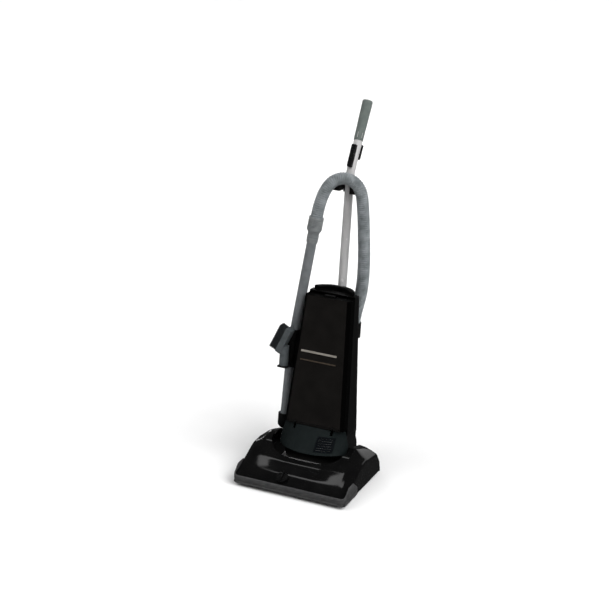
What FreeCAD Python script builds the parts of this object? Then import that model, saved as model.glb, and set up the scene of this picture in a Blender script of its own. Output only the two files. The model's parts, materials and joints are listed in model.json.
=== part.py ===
import FreeCAD, Part
import math
import os
import re
import Sketcher
from FreeCAD import Placement, Rotation, Vector

# An upright vacuum cleaner: a floor nozzle on wheels, and an upright body that leans back on a
# pivot through the motor case. +X is the user's right seen from the front, -Y the front, +Z up.
#
# Two frames carry the pieces. BASE has its y measured backward from the nozzle's front edge.
# UPRIGHT has its origin on the pivot axis and its z along the body, which leans back at rest.

DOC = FreeCAD.newDocument("UprightVacuum")
SHEET = DOC.addObject("Spreadsheet::Sheet", "Sizes")

SIZES = {
    # the whole
    "front_to_origin": 270.9, "lean": 8.3, "pivot_back": 222, "pivot_height": 70, "wall": 3,
    # nozzle and hood
    "base_half": 178, "base_depth": 252, "hood_low": 12, "lip_height": 35, "ridge_back": 40,
    "ridge_height": 53, "side_height": 85, "shoulder_height": 114, "throat_half": 123,
    "throat_front": 96, "bumper_half": 180, "bumper_thick": 7, "bumper_high": 34,
    "block_half": 166, "block_low": 14, "block_back": 104, "sole_thick": 2,
    # brush roll and belt
    "brush_back": 60, "brush_height": 27, "tunnel_radius": 26.5, "bristle_radius": 25,
    "roll_radius": 17, "roll_half": 152, "belt_plane": 145, "belt_width": 8, "belt_thick": 2,
    "roll_pulley": 13, "shaft_pulley": 8, "shaft_radius": 4,
    # arms, wheels and height carriage
    "arm_inner": 126, "arm_outer": 170, "arm_wall": 5, "arm_back": 247, "arm_height": 74,
    "wheel_back": 244, "wheel_radius": 31, "wheel_middle": 152, "wheel_width": 20,
    "pedal_back": 224, "pedal_height": 68,
    "axle_radius": 4, "fit": 0.05, "roller_radius": 11, "roller_back": 98, "roller_middle": 52,
    "roller_width": 24, "carriage_back": 130, "carriage_height": 22, "carriage_radius": 3.5,
    "knob_x": -30, "knob_radius": 19, "knob_thick": 8,
    # pivot and motor
    "hub_right": 12, "hub_left": 17, "ring_wall": 3.5, "drum_radius": 56, "drum_half": 91,
    "port_height": 39, "port_radius": 7.5,
    "motor_radius": 42, "motor_left": 42, "motor_long": 102, "fan_radius": 46,
    # body shell
    "body_low": 58, "body_high": 466, "half_low": 97, "half_high": 73, "front_low": -33.7,
    "front_high": 7.6, "straight_back": 32, "body_back": 92, "door_low": 77, "door_high": 459,
    "door_depth": 34, "door_corner": 10, "door_gap": 0.4, "top_slope": 21.2, "slope_back": 34,
    "screw_radius": 1.75, "apron_low": 8, "apron_high": 74.5,
    "apron_front": 118, "hinge_y": -64, "hinge_z": 81,
    # handle
    "tube_back": 73.6, "tube_radius": 12.7, "tube_wall": 1.5, "tube_foot": 400,
    "tube_bend": 812, "collar_radius": 16.5, "cord_radius": 3.5, "bend_radius": 70,
    "bend_angle": 24.3, "tube_reach": 215, "switch_half": 6.5, "rim_outer": 72, "rim_high": 478,
    "grip_start": 99, "grip_length": 122, "grip_low": 13.6, "grip_high": 15.2,
    # hose and wand
    "hose_radius": 18.5, "hose_wall": 2, "wand_radius": 14.5, "wand_wall": 2, "socket_x": -128,
    "socket_y": 8,
    "cuff_radius": 22, "caddy_low": 222, "caddy_height": 116, "knee_x": -120, "inlet_x": 27,
    "inlet_y": 119, "inlet_z": 335, "peg_x": -127, "peg_y": -26, "peg_radius": 9,
    "brush_lean": 24, "boss_back": 92.4, "boss_left": 88,
}


def fill_sheet():
    """Write every driving size into the sheet under its own name."""
    for row, (alias, value) in enumerate(SIZES.items(), start=1):
        SHEET.set(f"A{row}", alias)
        SHEET.set(f"B{row}", str(value))
        SHEET.setAlias(f"B{row}", alias)
    DOC.recompute()


def expression(text):
    """Turn 'base_half - wall' into an expression on the sheet's cells."""
    return re.sub(r"[a-z_]+", lambda m: "Sizes." + m[0] if m[0] in SIZES else m[0], str(text))


def number(text):
    """Today's value of such an expression."""
    if isinstance(text, (int, float)):
        return float(text)
    value = SHEET.evalExpression(expression(text))
    return float(getattr(value, "Value", value))


def point(x, y, z):
    return Vector(number(x), number(y), number(z))


def bind(thing, path, text):
    """Bind one property or constraint to the sheet."""
    thing.setExpression(path, expression(text))


fill_sheet()
ORIGIN = Placement()
BASE = Placement(point(0, "-front_to_origin", 0), Rotation())
UPRIGHT = Placement(
    point(0, "pivot_back - front_to_origin", "pivot_height"),
    Rotation(Vector(1, 0, 0), -number("lean")),
)
AXES = {"x": Vector(1, 0, 0), "y": Vector(0, 1, 0), "z": Vector(0, 0, 1)}
NODES = {}


# ---------------------------------------------------------------- building blocks

def box(x, y, z, length, width, height):
    """A block from its low corner."""
    part = DOC.addObject("Part::Box", "Block")
    for side, text in (("Length", length), ("Width", width), ("Height", height)):
        bind(part, side, text)
    part.Placement = Placement(point(x, y, z), Rotation())
    return part


def slab(half, y, z, width, height):
    """A block centred on x = 0."""
    return box(f"-({half})", y, z, f"2 * ({half})", width, height)


def rod(axis, x, y, z, length, radius):
    """A cylinder that starts at a point and runs along an axis."""
    part = DOC.addObject("Part::Cylinder", "Rod")
    bind(part, "Radius", radius)
    bind(part, "Height", length)
    part.Placement = Placement(point(x, y, z), Rotation(AXES["z"], AXES[axis]))
    return part


def cone(axis, x, y, z, length, radius_start, radius_end):
    part = DOC.addObject("Part::Cone", "Taper")
    bind(part, "Radius1", radius_start)
    bind(part, "Radius2", radius_end)
    bind(part, "Height", length)
    part.Placement = Placement(point(x, y, z), Rotation(AXES["z"], AXES[axis]))
    return part


def fuse(*parts):
    if len(parts) == 1:
        return parts[0]
    joined = DOC.addObject("Part::MultiFuse", "Joined")
    joined.Shapes = list(parts)
    joined.Refine = True
    return joined


def cut(base, *tools):
    part = DOC.addObject("Part::Cut", "Cut")
    part.Base = base
    part.Tool = fuse(*tools)
    return part


def ring(axis, x, y, z, length, outer, inner):
    """A tube that starts at a point and runs along an axis."""
    return cut(rod(axis, x, y, z, length, outer), rod(axis, x, y, z, length, inner))


def group(*parts):
    """Separate solids kept in one node."""
    bundle = DOC.addObject("Part::Compound", "Group")
    bundle.Links = list(parts)
    return bundle


def outline(body, plane, corners, lift=0):
    """A closed sketch on one of the body's origin planes. A corner is (u, v), or (u, v, radius)
    where an arc that bulges away from the sketch's left runs to it from the corner before."""
    sketch = body.newObject("Sketcher::SketchObject", "Outline")
    planes = {feature.Role: feature for feature in body.Origin.OriginFeatures}
    sketch.AttachmentSupport = (planes[plane], [""])
    sketch.MapMode = "FlatFace"
    sketch.AttachmentOffset = Placement(Vector(0, 0, number(lift)), Rotation())
    sketch.setExpression("AttachmentOffset.Base.z", expression(lift))
    spots = [point(corner[0], corner[1], 0) for corner in corners]
    for i, corner in enumerate(corners):
        start, end = spots[i - 1], spots[i]
        if len(corner) == 3:
            middle, chord, radius = (start + end) / 2, end - start, number(corner[2])
            depth = radius - math.sqrt(radius ** 2 - (chord.Length / 2) ** 2)
            crown = middle + Vector(chord.y, -chord.x, 0).normalize() * depth
            sketch.addGeometry(Part.Arc(start, crown, end))
            bind_last(sketch, Sketcher.Constraint("Radius", i, radius), corner[2])
        else:
            sketch.addGeometry(Part.LineSegment(start, end))
    for i, corner in enumerate(corners):
        follower = (i + 1) % len(corners)
        end = arc_end(sketch, i, spots[i])
        start = arc_end(sketch, follower, spots[i])
        sketch.addConstraint(Sketcher.Constraint("Coincident", i, end, follower, start))
        for kind, text, value in (("DistanceX", corner[0], spots[i].x),
                                  ("DistanceY", corner[1], spots[i].y)):
            bind_last(sketch, Sketcher.Constraint(kind, -1, 1, i, end, value), text)
    return sketch


def bind_last(sketch, constraint, text):
    """Add a dimension to the sketch and bind it to the sheet."""
    index = sketch.addConstraint(constraint)
    sketch.setExpression(f"Constraints[{index}]", expression(text))


def arc_end(sketch, index, spot):
    """Which end of a sketch edge lies on a spot: 1 is its start, 2 its end."""
    edge = sketch.Geometry[index]
    return 1 if edge.StartPoint.distanceToPoint(spot) < edge.EndPoint.distanceToPoint(spot) else 2


def new_body():
    return DOC.addObject("PartDesign::Body", "Body")


def pad(body, plane, corners, length, lift=0, both_ways=False):
    feature = body.newObject("PartDesign::Pad", "Pad")
    feature.Profile = outline(body, plane, corners, lift)
    feature.Midplane = both_ways
    bind(feature, "Length", length)
    return feature


def pocket(body, plane, corners, length, lift=0, both_ways=False, flip=False):
    feature = body.newObject("PartDesign::Pocket", "Pocket")
    feature.Profile = outline(body, plane, corners, lift)
    feature.Midplane = both_ways
    feature.Reversed = flip
    bind(feature, "Length", length)
    return feature


def loft(body, plane, sections, kind="Additive", ruled=True):
    """A skin through sections, each a pair (lift, corners)."""
    feature = body.newObject(f"PartDesign::{kind}Loft", f"{kind}Loft")
    sketches = [outline(body, plane, corners, lift) for lift, corners in sections]
    feature.Profile = sketches[0]
    feature.Sections = sketches[1:]
    feature.Ruled = ruled
    return feature


def rectangle(u_low, v_low, u_high, v_high):
    return [(u_low, v_low), (u_high, v_low), (u_high, v_high), (u_low, v_high)]


def node(name, part, frame, local=ORIGIN):
    """Name a finished piece and set it in its frame."""
    part.Label = name
    part.Placement = frame.multiply(local).multiply(part.Placement)
    NODES[name] = part
    return part


def tilted(angle, x, y, z):
    """A local frame at a point, with its z turned back by an angle in the y-z plane."""
    return Placement(point(x, y, z), Rotation(AXES["x"], -number(angle)))


def route(points, ends=0.45):
    """Straight runs joined by tangent arcs, each as large as its two runs allow."""
    edges, radii, start = [], [], points[0]
    for before, corner, after in zip(points, points[1:], points[2:]):
        arrive, leave = corner - before, after - corner
        turn = arrive.getAngle(leave)
        reach = ends * min(arrive.Length, leave.Length)
        radii.append(reach / math.tan(turn / 2))
        arrive.normalize()
        leave.normalize()
        enter, exit_ = corner - arrive * reach, corner + leave * reach
        inward = (leave - arrive).normalize()
        sag = radii[-1] * (1 / math.cos(turn / 2) - 1)
        edges.append(Part.LineSegment(start, enter).toShape())
        edges.append(Part.Arc(enter, corner + inward * sag, exit_).toShape())
        start = exit_
    edges.append(Part.LineSegment(start, points[-1]).toShape())
    return Part.Wire(edges), radii


def swept(path, radius):
    """A round bar along a path."""
    edge = path.Edges[0]
    start, along = edge.valueAt(edge.FirstParameter), edge.tangentAt(edge.FirstParameter)
    section = Part.Wire(Part.makeCircle(radius, start, along))
    return path.makePipeShell([section], True, False)


def coded(shape):
    feature = DOC.addObject("Part::Feature", "Swept")
    feature.Shape = shape
    return feature


# ---------------------------------------------------------------- floor nozzle

def hood_section(low_back, ridge, middle, rise, peak, rear, inset=0):
    """The hood's side profile at one station across it: (back, height) down to the floor edge."""
    front = f"bumper_thick + {inset}"
    drop = f"{inset} * 1.1"
    return [
        (front, "hood_low" if not inset else 0), (front, f"lip_height - {drop}"),
        (f"ridge_back + {inset}", f"{ridge} - {drop}"), (85, f"{middle} - {drop}"),
        (128, f"{rise} - {drop}"), (168, f"{peak} - {drop}"), (f"233 - {inset}", f"{rear} - {drop}"),
        (f"base_depth - {inset}", f"{low_back} - {inset}"),
        (f"base_depth - {inset}", "hood_low" if not inset else 0),
    ]


HOOD_STATIONS = (
    # across, low back corner, ridge, middle, rise, peak, rear
    ("base_half", 42, 43, 65, 84, "side_height", 76),
    (162, 46, "ridge_height", 73, 92, 95, 84),
    (140, 50, "ridge_height", 76, 103, "shoulder_height", 92),
    ("throat_half", 52, "ridge_height", 74, 102, "shoulder_height", 94),
    (60, 52, "ridge_height", 67, 98, "shoulder_height", 94),
)


# (x, y, height where the boss ends inside the hood's skin)
HOOD_BOSSES = ((-150, 122, 93), (150, 122, 93), (-150, 152, 98), (150, 152, 98))


def hood():
    """The glossy top cover: low at the front, two shoulders, and a throat for the body."""
    outer, inner = [], []
    for across, *heights in HOOD_STATIONS:
        outer.append((across, hood_section(*heights)))
        inner.append((f"{across} - wall" if across == "base_half" else across,
                      hood_section(*heights, inset=number("wall"))))
    mirror = [(f"-({across})", corners) for across, corners in reversed(outer)]
    mirror_inner = [(f"-({across})", corners) for across, corners in reversed(inner)]
    body = new_body()
    loft(body, "YZ_Plane", outer + mirror)
    loft(body, "YZ_Plane", inner + mirror_inner, "Subtractive")
    throat = [
        ("-throat_half", 300), ("-throat_half", 150), ("-95", "throat_front + 6"),
        ("-45", "throat_front"), ("45", "throat_front"), ("95", "throat_front + 6"),
        ("throat_half", 150), ("throat_half", 300),
    ]
    pocket(body, "XY_Plane", throat, 200, flip=True)
    stem = rod("z", 0, 0, -12, 24, 4.5)
    stem.Placement = knob_frame().multiply(stem.Placement)
    slot = box(-167, "pedal_back - 3", 60, 26, 40, 17)
    bosses = [rod("z", x, y, "arm_height + 0.1", f"{high} - arm_height", 6)
              for x, y, high in HOOD_BOSSES]
    holes = [rod("z", x, y, "arm_height", 12, "screw_radius") for x, y, high in HOOD_BOSSES]
    for side in (-1, 1):
        holes += [
            box(f"{side} * wheel_middle - 14", "wheel_back - 6", 0, 28, 30, 68),
            rod("x", f"{side} * 127.5 - 5.5", "pivot_back", "pivot_height", 11, 24),
        ]
    node("hood", cut(fuse(body, *bosses), stem, slot, *holes), BASE)


def knob_frame():
    """On the front slope of the hood, with z along the slope's normal."""
    run = number("ridge_back - bumper_thick")
    climb = number("ridge_height - lip_height")
    slope = math.degrees(math.atan2(climb, run))
    middle = point("knob_x", "(ridge_back + bumper_thick) / 2 + 2",
                   "(ridge_height + lip_height) / 2 + 2")
    return Placement(middle, Rotation(AXES["x"], slope))


def front_bumper():
    """A soft strip across the front that turns up into a cheek at each side."""
    body = new_body()
    cheek = [(0, 10), (0, "bumper_high"), (8, "bumper_high + 4"), (34, 60), (66, 60),
             (92, 36), (92, 10)]
    pad(body, "YZ_Plane", cheek, "2 * bumper_half", both_ways=True)
    inside = rectangle("-base_half - 0.02", "bumper_thick", "base_half + 0.02", 100)
    pocket(body, "XY_Plane", inside, 200, flip=True)
    node("front_bumper", body, BASE)


def nozzle_chassis():
    """The structural moulding: brush tunnel in front, an arm with a wheel well on each side."""
    block = new_body()
    side = [("bumper_thick + 5", "block_low"), ("bumper_thick + 5", 30), ("ridge_back", 42),
            ("brush_back", 54.4), ("block_back", 62), ("block_back", "block_low")]
    pad(block, "YZ_Plane", side, "2 * block_half", both_ways=True)
    parts = [block, slab("arm_inner", "block_back", 32, 56, 6)]
    stem = rod("z", 0, 0, -14, 16, "4 + fit")
    stem.Placement = knob_frame().multiply(stem.Placement)
    hollows = [
        stem,
        rod("x", "-block_half + 4", "brush_back", "brush_height", "2 * block_half - 8",
            "tunnel_radius"),
        slab("roll_half", "brush_back - 24", 0, 48, "brush_height"),
        box("belt_plane - 8", "brush_back", "block_low + 2", 16, "block_back - brush_back", 39),
        box(-160, "brush_back", 31, 26, "block_back - brush_back", 23),
        slab(79.5, "roller_back - 7", 0, 40, 24),
    ]
    width = "(arm_outer - arm_inner)"
    profile = [("block_back", "block_low"), ("block_back", "arm_height - 5"),
               ("block_back + 20", "arm_height"), ("pedal_back + 4", "arm_height"),
               ("arm_back", 42), ("arm_back", "block_low")]
    for side in (-1, 1):
        start = "arm_inner" if side > 0 else "-arm_outer"
        face = "arm_inner" if side > 0 else "-arm_inner - arm_wall"
        hub = "hub_right" if side > 0 else "hub_left"
        arm = new_body()
        pad(arm, "YZ_Plane", profile, width, lift=start)
        parts += [
            arm,
            rod("x", face, "pivot_back", "pivot_height", "arm_wall", f"{hub} + ring_wall + 3"),
            box(f"{side} * 83 - 3", "carriage_back - 7", 14, 6, 14, 20),
        ]
        hollows += [
            box(f"{start} + arm_wall", "block_back", 0, f"{width} - 2 * arm_wall", 200,
                "arm_height - 4"),
            box(f"{start} + arm_wall", 160, 60, f"{width} - 2 * arm_wall", 200, 40),
            rod("x", face, "pivot_back", "pivot_height", "arm_wall", f"{hub} + ring_wall"),
            rod("x", start, "wheel_back", "wheel_radius", width, "axle_radius"),
            box(f"{side} * roller_middle - 16", "roller_back - 11.5", 0, 32, 40, 34),
            rod("x", f"{side} * 83 - 4", "carriage_back", "carriage_height", 8,
                "carriage_radius + fit"),
        ]
    hollows.append(rod("x", "-arm_outer - 1", "pedal_back", "pedal_height", 12, 2.5))
    hollows += [rod("z", x, y, "arm_height - 6", 20, "screw_radius") for x, y, high in HOOD_BOSSES]
    node("nozzle_chassis", cut(fuse(*parts), *hollows), BASE)


def sole_plate():
    """The steel plate under the nozzle, open below the brush roll."""
    body = new_body()
    pad(body, "XY_Plane", rectangle("-block_half + 1", 14, "block_half - 1", 91), "sole_thick",
        lift="block_low - sole_thick")
    mouth = rectangle("-roll_half", "brush_back - 24", "roll_half", "brush_back + 24")
    pocket(body, "XY_Plane", mouth, 60, both_ways=True)
    for side in (-1, 1):
        well = rectangle(f"{side} * roller_middle - 16", "brush_back + 26.5",
                         f"{side} * roller_middle + 16", 110)
        pocket(body, "XY_Plane", well, 60, both_ways=True)
    node("sole_plate", body, BASE)


def nozzle_duct():
    """The air path: back along the left arm, then past the wheel to the hollow trunnion."""
    outer = fuse(rod("y", -147, 88, 42.5, 84, 11), box(-158, 168, 31.5, 26, 40, 40),
                 box(-141.5, 196, 54, 10.5, 34.8, 32))
    inner = fuse(rod("y", -147, 80, 42.5, 100, 9), box(-156, 170, 33.5, 22, 36, 36),
                 box(-139.5, 198, 56, 6.5, 30.8, 28),
                 rod("x", -136, "pivot_back", "pivot_height", 10, "hub_left - wall"))
    node("nozzle_duct", cut(outer, inner), BASE)


def brush_roll():
    """The beater bar with its pulley, and the spiral rows of bristle it carries."""
    core = [rod("x", "-roll_half + 2", "brush_back", "brush_height", "2 * roll_half - 20",
                "roll_radius"),
            rod("x", "roll_half - 18", "brush_back", "brush_height", 18, "roll_pulley"),
            rod("x", "-block_half + 5", "brush_back", "brush_height", "2 * block_half - 10", 4)]
    node("brush_roll", fuse(*core), BASE)
    rows = []
    turns, steps = 0.75, 9
    length = number("2 * roll_half - 34")
    for row in range(2):
        for step in range(steps):
            angle = 180 * row + 360 * turns * step / steps
            tuft = box(0, "-2", "roll_radius + 0.02", 2, 4, "bristle_radius - roll_radius")
            bind(tuft, "Length", f"(2 * roll_half - 34) / {steps} - 1")
            along = number("-roll_half + 6") + step * length / steps
            tuft.Placement = Placement(
                Vector(along, number("brush_back"), number("brush_height")),
                Rotation(AXES["x"], angle),
            ).multiply(tuft.Placement)
            rows.append(tuft)
    node("brush_bristles", group(*rows), BASE)


def brush_bearings():
    """A bush at each end of the brush roll."""
    bushes = [ring("x", start, "brush_back", "brush_height", 6, 12, f"4 + fit")
              for start in ("-block_half + 4", "block_half - 10")]
    node("brush_bearings", group(*bushes), BASE)


def drive_belt():
    """A flat belt round the shaft's pulley and the brush roll's."""
    rise = number("pivot_height - brush_height")
    back = number("pivot_back - brush_back")
    span = math.hypot(rise, back)
    wrap = math.asin((number("roll_pulley") - number("shaft_pulley")) / span)
    heading = math.atan2(rise, back)
    loops = []
    for gap in (0.3, 0.3 + number("belt_thick")):
        near, far = number("roll_pulley") + gap, number("shaft_pulley") + gap
        spots = []
        for sign in (1, -1):
            normal = heading + sign * (math.pi / 2 - wrap)
            for centre_back, centre_up, radius in ((0, 0, near), (back, rise, far)):
                spots.append(Vector(0, centre_back + radius * math.cos(normal),
                                    centre_up + radius * math.sin(normal)))
        low_crown = Vector(0, -near * math.cos(heading), -near * math.sin(heading))
        high_crown = Vector(0, back + far * math.cos(heading), rise + far * math.sin(heading))
        loop = Part.Wire([
            Part.LineSegment(spots[0], spots[1]).toShape(),
            Part.Arc(spots[1], high_crown, spots[3]).toShape(),
            Part.LineSegment(spots[3], spots[2]).toShape(),
            Part.Arc(spots[2], low_crown, spots[0]).toShape(),
        ])
        loops.append(Part.Face(loop).extrude(Vector(number("belt_width"), 0, 0)))
    belt = coded(loops[1].cut(loops[0]))
    belt.Placement = Placement(
        point("belt_plane - belt_width / 2", "brush_back", "brush_height"), Rotation())
    node("drive_belt", belt, BASE)


def wheels():
    """The two rear wheels on their stub axles."""
    axles = []
    for side, name in ((-1, "left"), (1, "right")):
        middle = f"{side} * wheel_middle"
        tyre = rod("x", f"{middle} - wheel_width / 2", "wheel_back", "wheel_radius",
                   "wheel_width", "wheel_radius")
        recess = ring("x", f"{middle} + {side} * wheel_width / 2 - 4", "wheel_back",
                      "wheel_radius", 8, 22, 10)
        bore = rod("x", f"{middle} - 30", "wheel_back", "wheel_radius", 60, "axle_radius + fit")
        node(f"rear_wheel_{name}", cut(tyre, recess, bore), BASE)
        axles.append(rod("x", f"{side} * (arm_inner + arm_outer) / 2"
                         " - (arm_outer - arm_inner) / 2", "wheel_back", "wheel_radius",
                         "arm_outer - arm_inner", "axle_radius"))
    node("rear_axles", group(*axles), BASE)


def height_gear():
    """The front rollers on a carriage that the front knob lowers."""
    arms = [rod("x", -86, "carriage_back", "carriage_height", 172, "carriage_radius"),
            rod("x", -77, "roller_back", "roller_radius", 154, 3)]
    for side in (-1, 1):
        start = point(f"{side} * 74.5 - 2.5", "roller_back", "roller_radius")
        reach = point(0, "carriage_back - roller_back", "carriage_height - roller_radius")
        link = box(0, -4, -5, 5, reach.Length + 6, 10)
        link.Placement = Placement(start, Rotation(AXES["y"], reach)).multiply(link.Placement)
        arms.append(link)
        wheel = ring("x", f"{side} * roller_middle - roller_width / 2", "roller_back",
                     "roller_radius", "roller_width", "roller_radius", "3 + fit")
        node("front_roller_" + ("left" if side < 0 else "right"), wheel, BASE)
    node("height_carriage", fuse(*arms), BASE)
    knob = fuse(rod("z", 0, 0, 0, "knob_thick", "knob_radius"),
                box(-3, "-knob_radius + 1", "knob_thick", 6, "2 * knob_radius - 2", 4),
                rod("z", 0, 0, -10, 11, 4))
    node("height_knob", knob, BASE, knob_frame())


def release_pedal():
    """The foot pedal that lets the body lean back, on its pin with a coil spring."""
    plate = fuse(box(-164, "pedal_back", "pedal_height - 2", 20, 42, 4),
                 rod("x", -164, "pedal_back", "pedal_height", 20, 5.5))
    gap = box(-158, "pedal_back - 10", "pedal_height - 8", 9, 16.5, 16)
    bore = rod("x", -170, "pedal_back", "pedal_height", 50, "2.5 + fit")
    node("release_pedal", cut(plate, gap, bore), BASE)
    node("pedal_pin", rod("x", "-arm_outer", "pedal_back", "pedal_height", 27, 2.5), BASE)
    node("pedal_spring", ring("x", -157, "pedal_back", "pedal_height", 7, 4.6, 3), BASE)


def pivot_bearings():
    """The plain bearings in the arms that carry the body's trunnions."""
    rings = [ring("x", face, "pivot_back", "pivot_height", "arm_wall", f"{hub} + ring_wall",
                  f"{hub} + fit")
             for face, hub in (("arm_inner", "hub_right"), ("-arm_inner - arm_wall", "hub_left"))]
    node("pivot_bearings", group(*rings), BASE)


def hood_screws():
    """Four screws, driven up through the arms into the hood's bosses."""
    screws = [fuse(rod("z", x, y, "arm_height - 7", 18, "screw_radius"),
                   rod("z", x, y, "arm_height - 6.5", 2.5, 4)) for x, y, high in HOOD_BOSSES]
    node("hood_screws", group(*screws), BASE)


# ---------------------------------------------------------------- lower body and motor

BOSSES = ((-76, -26), (76, -26), (-76, 40), (76, 40))


def motor_case():
    """The drum that turns on the pivot and the box that carries the bag housing above it."""
    trunnion = "arm_inner + arm_wall - drum_half"
    outer = [
        rod("x", "-drum_half", 0, 0, "2 * drum_half", "drum_radius"),
        slab(84, -45, 0, 105, "body_low"),
        rod("x", "drum_half", 0, 0, trunnion, "hub_right"),
        rod("x", "-arm_inner - arm_wall", 0, 0, trunnion, "hub_left"),
    ]
    inner = [
        rod("x", "-drum_half + wall", 0, 0, "2 * drum_half - 2 * wall", "drum_radius - wall"),
        slab("84 - wall", "-45 + wall", 0, "105 - 2 * wall", "body_low"),
        rod("x", "drum_half - 10", 0, 0, 60, "shaft_radius + fit"),
        rod("x", "-arm_inner - 10", 0, 0, "arm_inner + 20 - drum_half", "hub_left - wall"),
        rod("x", "-drum_half - 1", "socket_y", "port_height", 6, "port_radius"),
    ]
    bosses = [rod("z", x, y, 40, "body_low - 40", 6) for x, y in BOSSES]
    lugs = []
    link = [(-45, 40), (-45, 56), ("hinge_y - 2.5", "hinge_z - 2.5"),
            ("hinge_y + 2.5", "hinge_z + 2.5"), (-42, 64), (-42, 40)]
    for side in (-1, 1):
        arm = new_body()
        pad(arm, "YZ_Plane", link, 7, lift=f"{side} * 60 - 3.5")
        lugs += [arm, rod("x", f"{side} * 60 - 3.5", "hinge_y", "hinge_z", 7, 3.6)]
    holes = [rod("x", -90, "hinge_y", "hinge_z", 180, 2)]
    holes += [rod("z", x, y, 30, 60, "screw_radius") for x, y in BOSSES]
    shell = cut(fuse(*outer), *inner)
    node("motor_case", cut(fuse(shell, *bosses, *lugs), *holes), UPRIGHT)


def riser_duct():
    """The box inside the drum that leads the air from the trunnion up to the wand's socket."""
    face = "-drum_half + wall + 0.1"
    outer = box(face, -17, -17, 15, 35, 66.5)
    inner = box(f"{face} + 2", -15, -15, 11, 31, 62.5)
    ports = [rod("x", f"{face} - 1", 0, 0, 8, "hub_left - wall"),
             rod("x", f"{face} - 1", "socket_y", "port_height", 8, "port_radius")]
    node("riser_duct", cut(outer, inner, *ports), UPRIGHT)


def motor():
    """Motor, its rubber mounts, and the rotor with fan and belt pulley."""
    node("motor", cut(rod("x", "-motor_left", 0, 0, "motor_long", "motor_radius"),
                      rod("x", -80, 0, 0, 160, "shaft_radius + fit")), UPRIGHT)
    mounts = [ring("x", start, 0, 0, 12, "drum_radius - wall", "motor_radius")
              for start in (-34, 40)]
    node("motor_mounts", group(*mounts), UPRIGHT)
    rotor = fuse(
        rod("x", "-motor_left - 29", 0, 0, "motor_left + 29 + belt_plane + 8", "shaft_radius"),
        cone("x", "-motor_left - 24", 0, 0, 20, "fan_radius", 20),
        rod("x", "-motor_left - 27", 0, 0, 3, "fan_radius"),
        rod("x", "belt_plane - 6", 0, 0, 12, "shaft_pulley"),
    )
    node("motor_rotor", rotor, UPRIGHT)


WINDOW = (24, -125, 15, 52, 70, 40)


def apron_section(half, front, inset=0, rear=-46):
    """The motor cover's plan at one height: an arc across the front between two straight sides."""
    side, nose, near = f"({half} - {inset})", f"({front} - {inset})", -48
    depth = f"({nose} + ({near}))"
    radius = f"({side}^2 + {depth}^2) / (2 * {depth})"
    return [(side, rear), (f"-{side}", rear), (f"-{side}", near), (side, near, radius)]


def apron_skin(outer, inner):
    """The skirt's wall between two depths below its outer face."""
    body = new_body()
    loft(body, "XY_Plane", [("apron_low", apron_section(114, "apron_front", outer)),
                            ("apron_high", apron_section(97, 68, outer))])
    loft(body, "XY_Plane", [("apron_low - 1", apron_section(114.3, "apron_front + 0.7", inner, -40)),
                            ("apron_high - wall", apron_section(98, 70, inner, -40))],
         "Subtractive")
    return body


def motor_cover():
    """The flared skirt over the motor, with an opening for the exhaust filter."""
    lugs = [box(f"{side} * 60 - 4", -69, 60, 8, 27, 30) for side in (-1, 1)]
    drum = rod("x", -130, 0, 0, 260, "drum_radius")
    node("motor_cover", cut(apron_skin(0, 3), box(*WINDOW), drum, *lugs), UPRIGHT)


def window_piece(skin, gap):
    """The part of a skin of the skirt that fits the window with a gap all round."""
    x, y, z, length, width, height = WINDOW
    piece = DOC.addObject("Part::MultiCommon", "Common")
    piece.Shapes = [skin, box(x + gap, y, z + gap, length - 2 * gap, width, height - 2 * gap)]
    return piece


def exhaust():
    """The louvred cover that closes the window in the skirt, and the filter behind it."""
    slots = [box(29, -125, f"19 + 6 * {row}", 42, 70, 2.2) for row in range(6)]
    node("exhaust_cover", cut(window_piece(apron_skin(0, 3), 0.3), *slots), UPRIGHT)
    node("exhaust_filter", window_piece(apron_skin(3.2, 11), 1), UPRIGHT)


# ---------------------------------------------------------------- bag housing

def half_width(height):
    """Half the body's width at a height, an expression."""
    return (f"(half_low + (half_high - half_low) * (({height}) - body_low)"
            " / (body_high - body_low))")


def front_edge(height):
    """Where the bag housing ends and the door begins at a height, an expression."""
    return (f"(front_low + (front_high - front_low) * (({height}) - body_low)"
            " / (body_high - body_low))")


def housing_section(height, inset=0):
    """D-shaped plan of the bag housing at one height."""
    half, front = f"({half_width(height)} - {inset})", front_edge(height)
    reach = f"(body_back - straight_back - {inset})"
    radius = f"({half}^2 + {reach}^2) / (2 * {reach})"
    open_front = f"{front} - 5" if inset else front
    return [(f"-{half}", open_front), (half, open_front), (half, "straight_back"),
            (f"-{half}", "straight_back", radius)]


def roof(drop):
    """The space above the housing's top, which falls toward the rear."""
    space = box(-90, 0, 0, 180, 100, 60)
    slope = Placement(point(0, "slope_back", f"body_high - {drop}"),
                      Rotation(AXES["x"], -number("top_slope")))
    space.Placement = slope.multiply(space.Placement)
    return space


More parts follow.
